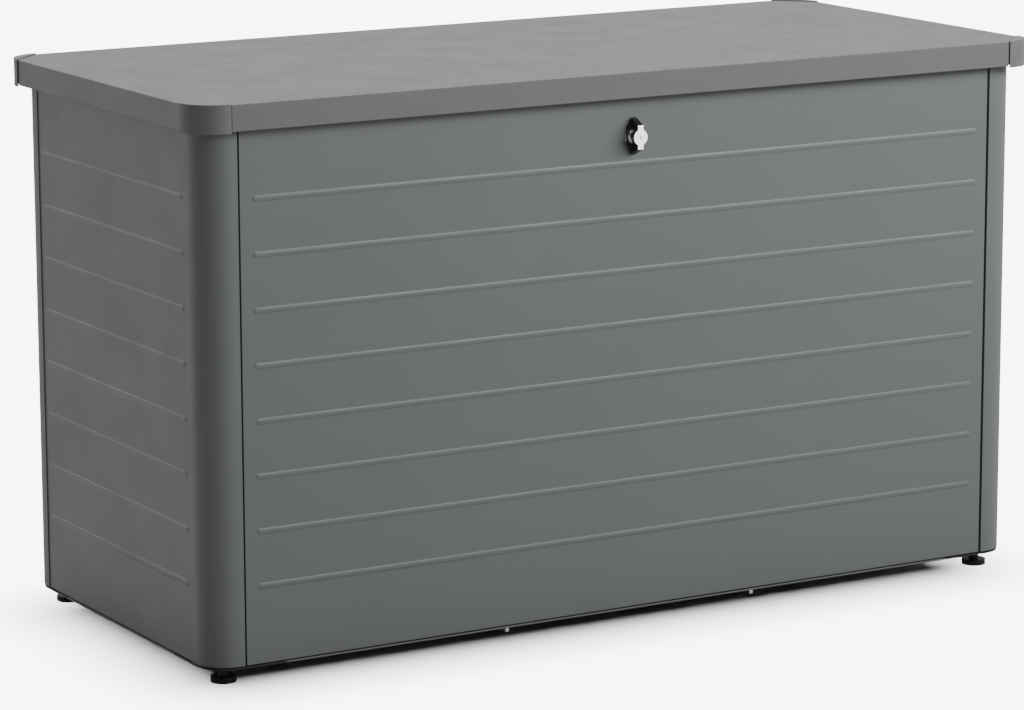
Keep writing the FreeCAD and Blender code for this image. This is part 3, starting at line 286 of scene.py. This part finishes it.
def reach(light, pieces, state):
    """Let a light reach only some pieces, or all but them."""
    light.light_linking.receiver_collection = linked(f"{light.name}_reach", pieces, state)


def shade_from(light, nodes):
    """Let only some nodes of the frame throw a light's shadow."""
    pieces = [NODES[node] for node in nodes]
    light.light_linking.blocker_collection = linked(f"{light.name}_shade", pieces, "INCLUDE")


def smooth_ramp(tree, field, start, end, low, high):
    """A field eased from low at its start value to high at its end value."""
    node = tree.nodes.new("ShaderNodeMapRange")
    node.interpolation_type = "SMOOTHSTEP"
    settings = {"From Min": start, "From Max": end, "To Min": low, "To Max": high}
    for socket, setting in settings.items():
        node.inputs[socket].default_value = setting
    tree.links.new(field, node.inputs["Value"])
    return node.outputs["Result"]


def product(tree, first, second):
    """Two fields multiplied."""
    node = tree.nodes.new("ShaderNodeMath")
    node.operation = "MULTIPLY"
    tree.links.new(first, node.inputs[0])
    tree.links.new(second, node.inputs[1])
    return node.outputs["Value"]


def for_rays(tree, kind, setting):
    """Mix node with a number for rays of one kind; its input A is what the others get."""
    node = tree.nodes.new("ShaderNodeMix")
    node.inputs["B"].default_value = setting
    tree.links.new(light_path(tree, kind), node.inputs["Factor"])
    return node


def surroundings():
    """Pale backdrop for the camera; round the box a soft room that is darker on one side."""
    world = bpy.data.worlds.new("studio")
    bpy.context.scene.world = world
    world.use_nodes = True
    tree = world.node_tree
    direction = tree.nodes.new("ShaderNodeTexCoord").outputs["Generated"]
    side = tree.nodes.new("ShaderNodeVectorMath")
    side.operation = "DOT_PRODUCT"
    tree.links.new(direction, side.inputs[0])
    side.inputs[1].default_value = DARK_SIDE
    across = smooth_ramp(tree, side.outputs["Value"], *DARK_SPAN, ROOM, ROOM_DARK)
    split = tree.nodes.new("ShaderNodeSeparateXYZ")
    tree.links.new(direction, split.inputs["Vector"])
    upward = smooth_ramp(tree, split.outputs["Z"], *TOP_SPAN, 1.0, ROOM_TOP)
    room = product(tree, across, upward)
    share = for_rays(tree, "Is Glossy Ray", 1.0)
    share.inputs["A"].default_value = ROOM_DIFFUSE
    strength = for_rays(tree, "Is Camera Ray", BACKDROP)
    tree.links.new(product(tree, room, share.outputs["Result"]), strength.inputs["A"])
    back = tree.nodes["Background"]
    back.inputs["Color"].default_value = (*WHITE, 1)
    tree.links.new(strength.outputs["Result"], back.inputs["Strength"])


def floor_light(floor):
    """Sun that only the floor takes in, shaded by the lid and the feet alone."""
    sun = distant("floor_sun", FLOOR_SUN_FROM, FLOOR_SUN_SPREAD, FLOOR_SUN_POWER)
    reach(sun, [floor], "INCLUDE")
    corner_pieces = [f"{kind}_{corner}" for kind in ("lid_cap", "foot") for corner in CORNERS]
    shade_from(sun, ["lid_panel"] + corner_pieces)


def box_lights(floor):
    """Strip in front, grazing light on the left wall and soft light from above, all off the floor."""
    lights = (
        softbox("front_strip", (1.5, -2.4, 1.95), (0.2, -0.3, 1.2), width=3.0, height=0.9, power=92),
        distant("side_light", (-0.62, 0.80, 0.18), spread=35, power=0.40),
        distant("top_light", (0.1, 0.35, 1.0), spread=60, power=1.22),
    )
    for light in lights:
        reach(light, [floor], "EXCLUDE")


def lock_light():
    """Small softbox that shows in the plated parts of the lock."""
    glint = softbox("lock_glint", (1.25, -2.42, 0.45), (0.0, -0.35, 0.79), width=1.3, height=1.3, power=11)
    reach(glint, [NODES[node] for node in PLATED_PARTS], "INCLUDE")


studio_floor_plane = studio_floor()
surroundings()
floor_light(studio_floor_plane)
box_lights(studio_floor_plane)
lock_light()

# ---------------------------------------------------------------- camera

CAMERA_PLACE = (-3.425, -5.811, 1.746)
CAMERA_YAW = 30.33
CAMERA_PITCH = 11.41
CAMERA_ROLL = 0.18
LENS = 146.6


def camera():
    """Camera left of the front and a little above the lid."""
    data = bpy.data.cameras.new("camera")
    data.lens = LENS
    data.sensor_width = 36
    data.clip_end = 200
    eye = bpy.data.objects.new("camera", data)
    bpy.context.scene.collection.objects.link(eye)
    eye.location = CAMERA_PLACE
    turn = (90 - CAMERA_PITCH, CAMERA_ROLL, -CAMERA_YAW)
    eye.rotation_euler = [math.radians(angle) for angle in turn]
    bpy.context.scene.camera = eye


camera()
